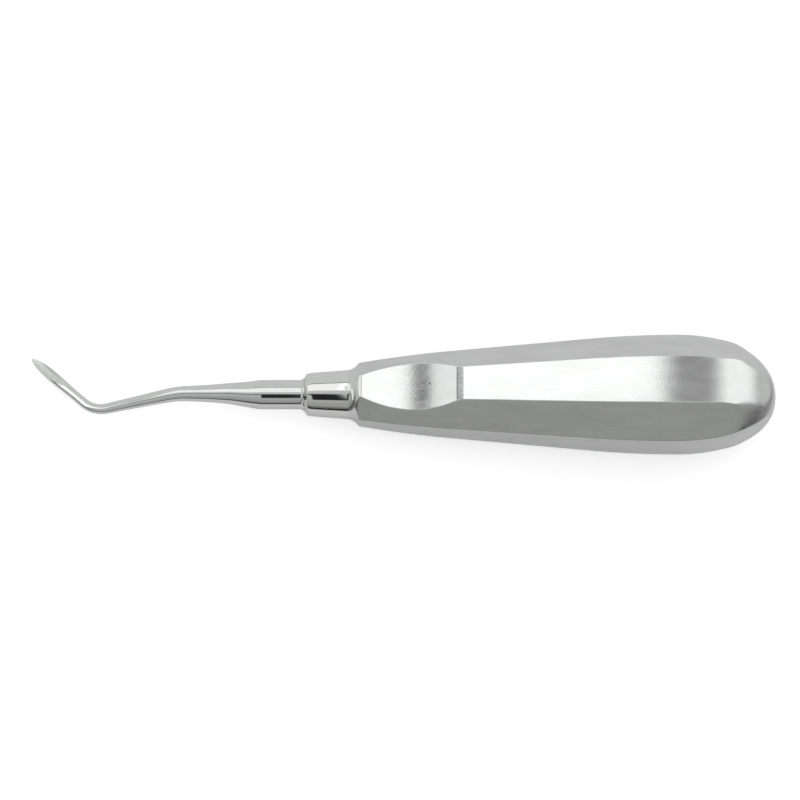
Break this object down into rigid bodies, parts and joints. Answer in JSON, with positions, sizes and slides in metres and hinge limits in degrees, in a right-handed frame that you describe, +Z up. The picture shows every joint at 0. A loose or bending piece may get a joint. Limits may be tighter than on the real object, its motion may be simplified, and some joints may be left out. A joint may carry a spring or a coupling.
{
  "type": "dental elevator",
  "caption": "Dental elevator with a hollow octagonal steel grip, thumb scoop, round collar and a slender bent shank ending in a narrow pointed gouge blade.",
  "frame": {"origin": "middle of the flat stretch of the grip's bottom facet, where the tool rests", "axes": "+X along the tool towards the grip's dome, +Z up from the surface it lies on, +Y the side the blade bends to"},
  "size_m": [0.1497, 0.0224, 0.0231],
  "materials": {
    "satin_steel": "satin ground",
    "polished_steel": "mirror polished"
  },
  "bodies": {
    "root": {"handle_upper_shell": "satin_steel", "handle_lower_shell": "satin_steel", "working_end": "polished_steel"}
  },
  "joints": []
}
